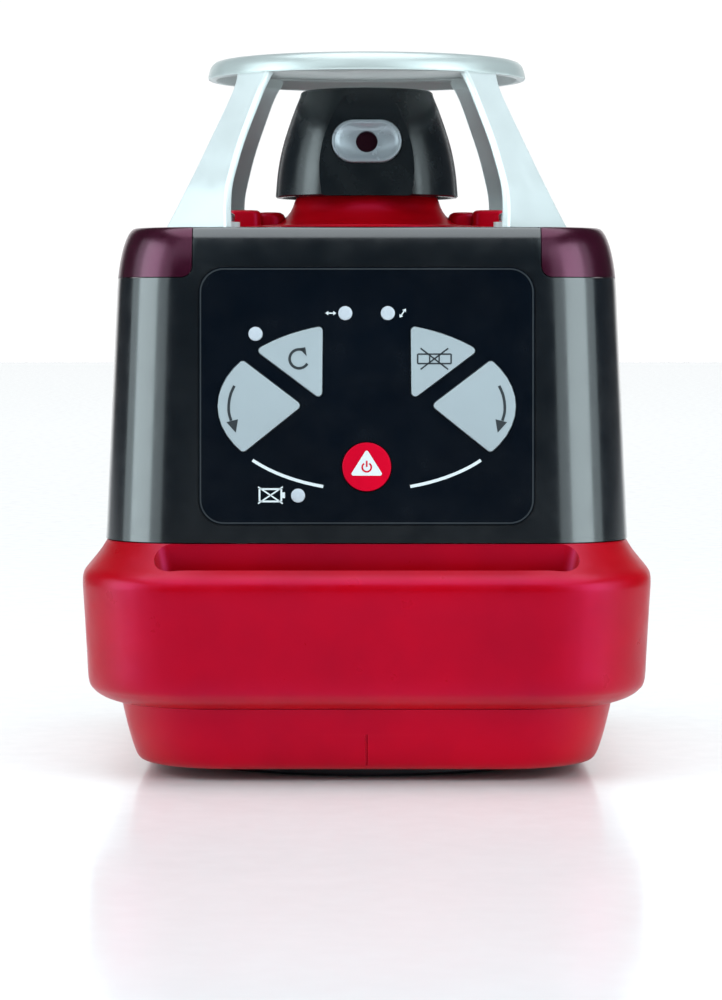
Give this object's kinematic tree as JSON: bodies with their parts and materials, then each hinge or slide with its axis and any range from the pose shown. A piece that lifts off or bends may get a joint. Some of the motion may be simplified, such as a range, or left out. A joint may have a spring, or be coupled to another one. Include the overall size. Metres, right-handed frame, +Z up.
{
  "type": "rotating laser level",
  "caption": "Self-levelling rotating laser: a spinning prism head under a cast guard, on a tapered housing with a keypad and a soft bumpered base.",
  "frame": {"origin": "centre of the resting face, under the head's spin axis", "axes": "+Z up along the head's spin axis at rest, +X to the right of a person facing the keypad, -Y out of the keypad's face"},
  "size_m": [0.159, 0.1748, 0.2034],
  "materials": {
    "red_plastic": "moulded, satin",
    "soft_red": "soft moulded, matt",
    "black_plastic": "satin, blue black",
    "black_steel": "powder coated",
    "keypad_film": "satin film",
    "grey_key": "moulded, matt",
    "red_key": "satin",
    "white_lamp": "frosted",
    "burgundy_window": "tinted, polished",
    "cast_aluminium": "silver paint on a casting",
    "aluminium": "machined",
    "steel": "bright",
    "brass": "turned",
    "circuit_board": "solder mask",
    "black_rubber": "matt",
    "cell_jacket": "printed jacket",
    "clear_glass": "polished"
  },
  "bodies": {
    "root": {"base_plate": "black_steel", "tripod_insert": "steel", "base_shell": "red_plastic", "bumper": "soft_red", "housing_shell": "black_plastic", "top_cover": "red_plastic", "guard_frame": "cast_aluminium", "main_board": "circuit_board", "chassis_frame": "aluminium", "keypad_panel": "keypad_film", "keypad_board": "circuit_board", "door_pin": "steel", "battery_box": "black_rubber", "battery_cell_1": "cell_jacket", "battery_cell_2": "cell_jacket", "gimbal_pin_left": "steel", "gimbal_pin_right": "steel", "level_motor_x": "steel", "level_motor_y": "steel", "base_screw_1": "steel", "guard_screw_1": "steel", "corner_window_1": "burgundy_window", "lamp_1": "white_lamp", "base_screw_2": "steel", "guard_screw_2": "steel", "corner_window_2": "burgundy_window", "lamp_2": "white_lamp", "base_screw_3": "steel", "guard_screw_3": "steel", "corner_window_3": "burgundy_window", "lamp_3": "white_lamp", "base_screw_4": "steel", "guard_screw_4": "steel", "corner_window_4": "burgundy_window", "lamp_4": "white_lamp"},
    "gimbal": {"gimbal_ring": "aluminium"},
    "laser_module": {"laser_carrier": "aluminium", "laser_tube": "aluminium", "collimator_lens": "clear_glass", "laser_diode": "brass", "tilt_sensor": "circuit_board", "spindle_bearing_1": "steel", "spindle_bearing_2": "steel", "drive_motor": "steel", "drive_belt": "black_rubber"},
    "motor_rotor": {"motor_pulley": "brass"},
    "rotor": {"rotor_spindle": "aluminium", "rotor_head": "black_plastic", "window_bezel": "cast_aluminium", "window_glass": "clear_glass", "penta_prism": "clear_glass"},
    "plunger_x": {"level_plunger_x": "brass"},
    "plunger_y": {"level_plunger_y": "brass"},
    "door": {"battery_door": "black_plastic"},
    "lock": {"battery_lock": "black_plastic"},
    "key_upper_left_body": {"key_upper_left": "grey_key"},
    "key_upper_right_body": {"key_upper_right": "grey_key"},
    "key_turn_left_body": {"key_turn_left": "grey_key"},
    "key_turn_right_body": {"key_turn_right": "grey_key"},
    "key_power_body": {"key_power": "red_key"}
  },
  "joints": [
    {"name": "level_y", "type": "hinge", "parent": "root", "child": "gimbal", "pos_m": [0, 0, 0.143], "axis": [1, 0, 0], "range_deg": [-5, 5]},
    {"name": "level_x", "type": "hinge", "parent": "gimbal", "child": "laser_module", "pos_m": [0, 0, 0.143], "axis": [0, 1, 0], "range_deg": [-5, 5]},
    {"name": "head_spin", "type": "hinge", "parent": "laser_module", "child": "rotor", "pos_m": [0, 0, 0.18], "axis": [0, 0, 1], "continuous": true},
    {"name": "motor_spin", "type": "hinge", "parent": "laser_module", "child": "motor_rotor", "pos_m": [-0.0185, 0, 0.15], "axis": [0, 0, 1], "continuous": true},
    {"name": "plunger_y_slide", "type": "slide", "parent": "root", "child": "plunger_y", "axis": [0, 0, 1], "range_m": [-0.0036, 0.0036]},
    {"name": "plunger_x_slide", "type": "slide", "parent": "root", "child": "plunger_x", "axis": [0, 0, 1], "range_m": [-0.0036, 0.0036]},
    {"name": "door_hinge", "type": "hinge", "parent": "root", "child": "door", "pos_m": [0, 0.0708, 0.07489], "axis": [-1, 0, 0], "range_deg": [0, 95]},
    {"name": "lock_turn", "type": "hinge", "parent": "door", "child": "lock", "pos_m": [0, 0.0704, 0.134], "axis": [0, 0.9989, 0.0472], "range_deg": [-90, 0]},
    {"name": "key_upper_left_press", "type": "slide", "parent": "root", "child": "key_upper_left_body", "axis": [0, 0.9989, -0.0472], "range_m": [0, 0.0007], "stiffness_N_per_m": 800},
    {"name": "key_upper_right_press", "type": "slide", "parent": "root", "child": "key_upper_right_body", "axis": [0, 0.9989, -0.0472], "range_m": [0, 0.0007], "stiffness_N_per_m": 800},
    {"name": "key_turn_left_press", "type": "slide", "parent": "root", "child": "key_turn_left_body", "axis": [0, 0.9989, -0.0472], "range_m": [0, 0.0007], "stiffness_N_per_m": 800},
    {"name": "key_turn_right_press", "type": "slide", "parent": "root", "child": "key_turn_right_body", "axis": [0, 0.9989, -0.0472], "range_m": [0, 0.0007], "stiffness_N_per_m": 800},
    {"name": "key_power_press", "type": "slide", "parent": "root", "child": "key_power_body", "axis": [0, 0.9989, -0.0472], "range_m": [0, 0.0007], "stiffness_N_per_m": 800}
  ],
  "couplings": [
    {"joint": "motor_spin", "follows": "head_spin", "ratio": 4},
    {"joint": "plunger_y_slide", "follows": "level_y", "m_per_rad": -0.04},
    {"joint": "plunger_x_slide", "follows": "level_x", "m_per_rad": -0.04}
  ]
}
